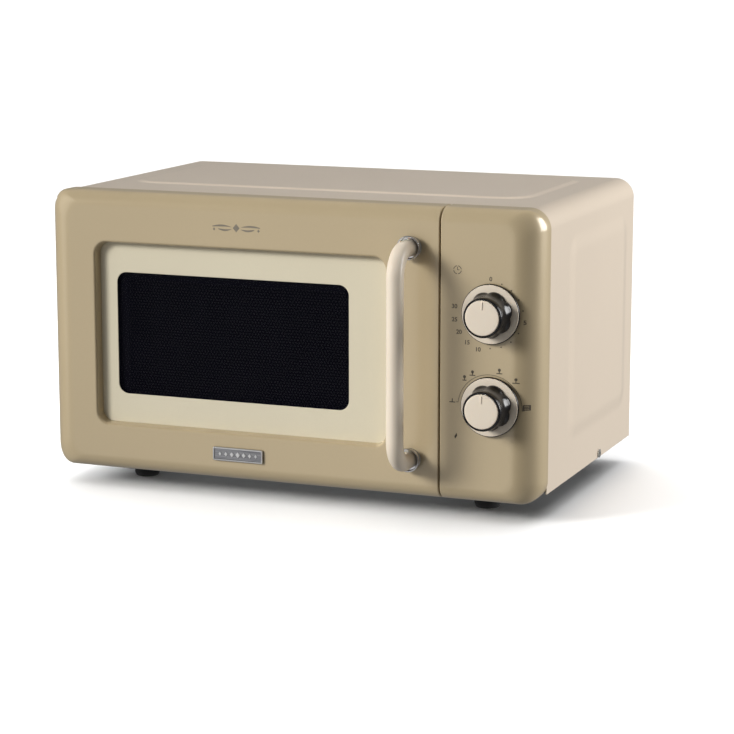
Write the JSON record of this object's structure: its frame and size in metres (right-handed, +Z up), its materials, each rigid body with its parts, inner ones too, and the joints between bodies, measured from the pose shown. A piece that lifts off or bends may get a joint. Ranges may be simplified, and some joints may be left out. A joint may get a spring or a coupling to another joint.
{
  "type": "microwave oven",
  "caption": "Compact countertop microwave oven with a hinged windowed door, round bar handle, two rotary dials and a turntable.",
  "frame": {"origin": "on the floor, at the middle of the overall bounding box", "axes": "+X to the right seen from the front, front faces -Y, +Z up"},
  "size_m": [0.452, 0.335, 0.262],
  "materials": {
    "beige_moulding": "smooth, semi-gloss",
    "cream_paint": "smooth gloss enamel",
    "cavity_enamel": "light grey enamel",
    "zinc_sheet": "galvanised sheet",
    "screw_zinc": "zinc-plated, bright",
    "black_rubber": "matt",
    "mica": "mica sheet, matt",
    "lamp_glass": "clear lamp envelope",
    "ceramic_white": "glazed ceramic",
    "black_plastic": "matt, moulded",
    "gloss_black": "gloss",
    "motor_steel": "plated steel",
    "white_acetal": "smooth, satin",
    "tray_glass": "clear pressed glass",
    "cast_aluminium": "bright fins",
    "lamination_steel": "varnished laminations",
    "copper_enamel": "enamelled copper wire",
    "can_aluminium": "drawn can",
    "board_green": "circuit board",
    "wire_red": "insulated wire",
    "cream_plastic": "smooth gloss",
    "shaft_steel": "turned",
    "window_glass": "dark tinted, gloss",
    "border_print": "satin print",
    "screen_steel": "perforated sheet, dark",
    "choke_paint": "satin",
    "spring_steel": "wire",
    "chrome_trim": "polished",
    "badge_metal": "satin silver, raised border",
    "plunger_red": "moulded"
  },
  "bodies": {
    "oven": {"outer_cabinet": "cream_paint", "rear_panel": "zinc_sheet", "base_plate": "zinc_sheet", "cabinet_screws": "screw_zinc", "rubber_feet": "black_rubber", "front_plate": "choke_paint", "cavity_liner": "cavity_enamel", "waveguide_cover": "mica", "cavity_lamp": "lamp_glass", "lamp_holder": "ceramic_white", "thermal_cutout": "black_plastic", "turntable_motor": "motor_steel", "waveguide": "zinc_sheet", "magnetron_yoke": "motor_steel", "magnetron_core": "cast_aluminium", "transformer_core": "lamination_steel", "transformer_windings": "copper_enamel", "hv_capacitor": "can_aluminium", "capacitor_clamp": "zinc_sheet", "hv_diode": "black_plastic", "fan_shroud": "white_acetal", "fan_motor": "motor_steel", "filter_board": "board_green", "wiring_harness": "wire_red", "cord_gland": "black_rubber", "control_panel": "beige_moulding", "timer_unit": "black_plastic", "interlock_bracket": "white_acetal", "door_switches": "black_plastic", "door_hinges": "zinc_sheet"},
    "door": {"door_frame": "beige_moulding", "window_pane": "window_glass", "window_border": "border_print", "door_screen": "screen_steel", "choke_frame": "choke_paint", "choke_cover": "black_plastic", "latch_spring": "spring_steel", "door_handle": "cream_plastic", "handle_ferrules": "chrome_trim", "handle_screws": "screw_zinc", "badge": "badge_metal"},
    "latch": {"door_latch": "white_acetal"},
    "timer_dial": {"timer_shaft": "shaft_steel", "timer_grip": "gloss_black", "timer_ring": "cream_plastic", "timer_cap": "cream_plastic"},
    "power_dial": {"power_shaft": "shaft_steel", "power_grip": "gloss_black", "power_ring": "cream_plastic", "power_cap": "cream_plastic"},
    "turntable_drive": {"turntable_coupler": "white_acetal"},
    "tray": {"glass_tray": "tray_glass"},
    "roller_support": {"roller_ring": "white_acetal"},
    "roller_1": {"roller_wheel_1": "white_acetal"},
    "roller_2": {"roller_wheel_2": "white_acetal"},
    "roller_3": {"roller_wheel_3": "white_acetal"},
    "fan": {"fan_rotor": "white_acetal"},
    "upper_switch_plunger": {"upper_plunger": "plunger_red"},
    "middle_switch_plunger": {"middle_plunger": "plunger_red"},
    "lower_switch_plunger": {"lower_plunger": "plunger_red"}
  },
  "joints": [
    {"name": "door_hinge", "type": "hinge", "parent": "oven", "child": "door", "pos_m": [-0.214, -0.1095, 0.142], "axis": [0, 0, -1], "range_deg": [0, 100]},
    {"name": "latch_lift", "type": "slide", "parent": "door", "child": "latch", "axis": [0, 0, 1], "range_m": [0, 0.0035], "stiffness_N_per_m": 300, "springref_m": -0.002, "deforming": ["latch_spring"]},
    {"name": "timer_turn", "type": "hinge", "parent": "oven", "child": "timer_dial", "pos_m": [0.18495, -0.1335, 0.177], "axis": [0, 1, 0], "range_deg": [0, 290]},
    {"name": "power_turn", "type": "hinge", "parent": "oven", "child": "power_dial", "pos_m": [0.18495, -0.1335, 0.1], "axis": [0, 1, 0], "range_deg": [-85, 90]},
    {"name": "turntable_spin", "type": "hinge", "parent": "oven", "child": "turntable_drive", "pos_m": [-0.0425, 0.0355, 0.043], "axis": [0, 0, 1], "continuous": true},
    {"name": "tray_lift", "type": "slide", "parent": "turntable_drive", "child": "tray", "axis": [0, 0, 1], "range_m": [0, 0.03]},
    {"name": "roller_orbit", "type": "hinge", "parent": "oven", "child": "roller_support", "pos_m": [-0.0425, 0.0355, 0.0508], "axis": [0, 0, 1], "continuous": true},
    {"name": "roller_1_spin", "type": "hinge", "parent": "roller_support", "child": "roller_1", "pos_m": [0.03674, 0.08125, 0.0508], "axis": [0.866, 0.5, 0], "continuous": true},
    {"name": "roller_2_spin", "type": "hinge", "parent": "roller_support", "child": "roller_2", "pos_m": [-0.12174, 0.08125, 0.0508], "axis": [-0.866, 0.5, 0], "continuous": true},
    {"name": "roller_3_spin", "type": "hinge", "parent": "roller_support", "child": "roller_3", "pos_m": [-0.0425, -0.056, 0.0508], "axis": [0, -1, 0], "continuous": true},
    {"name": "fan_spin", "type": "hinge", "parent": "oven", "child": "fan", "pos_m": [0.171, 0.1115, 0.196], "axis": [0, 1, 0], "continuous": true},
    {"name": "upper_switch_press", "type": "slide", "parent": "oven", "child": "upper_switch_plunger", "axis": [0, 1, 0], "range_m": [0, 0.0015], "stiffness_N_per_m": 400, "springref_m": -0.0005},
    {"name": "middle_switch_press", "type": "slide", "parent": "oven", "child": "middle_switch_plunger", "axis": [0, 1, 0], "range_m": [0, 0.0015], "stiffness_N_per_m": 400, "springref_m": -0.0005},
    {"name": "lower_switch_press", "type": "slide", "parent": "oven", "child": "lower_switch_plunger", "axis": [0, 1, 0], "range_m": [0, 0.0015], "stiffness_N_per_m": 400, "springref_m": -0.0005}
  ],
  "couplings": [
    {"joint": "roller_orbit", "follows": "turntable_spin", "ratio": 0.5},
    {"joint": "roller_1_spin", "follows": "turntable_spin", "ratio": -6.1},
    {"joint": "roller_2_spin", "follows": "turntable_spin", "ratio": -6.1},
    {"joint": "roller_3_spin", "follows": "turntable_spin", "ratio": -6.1}
  ]
}
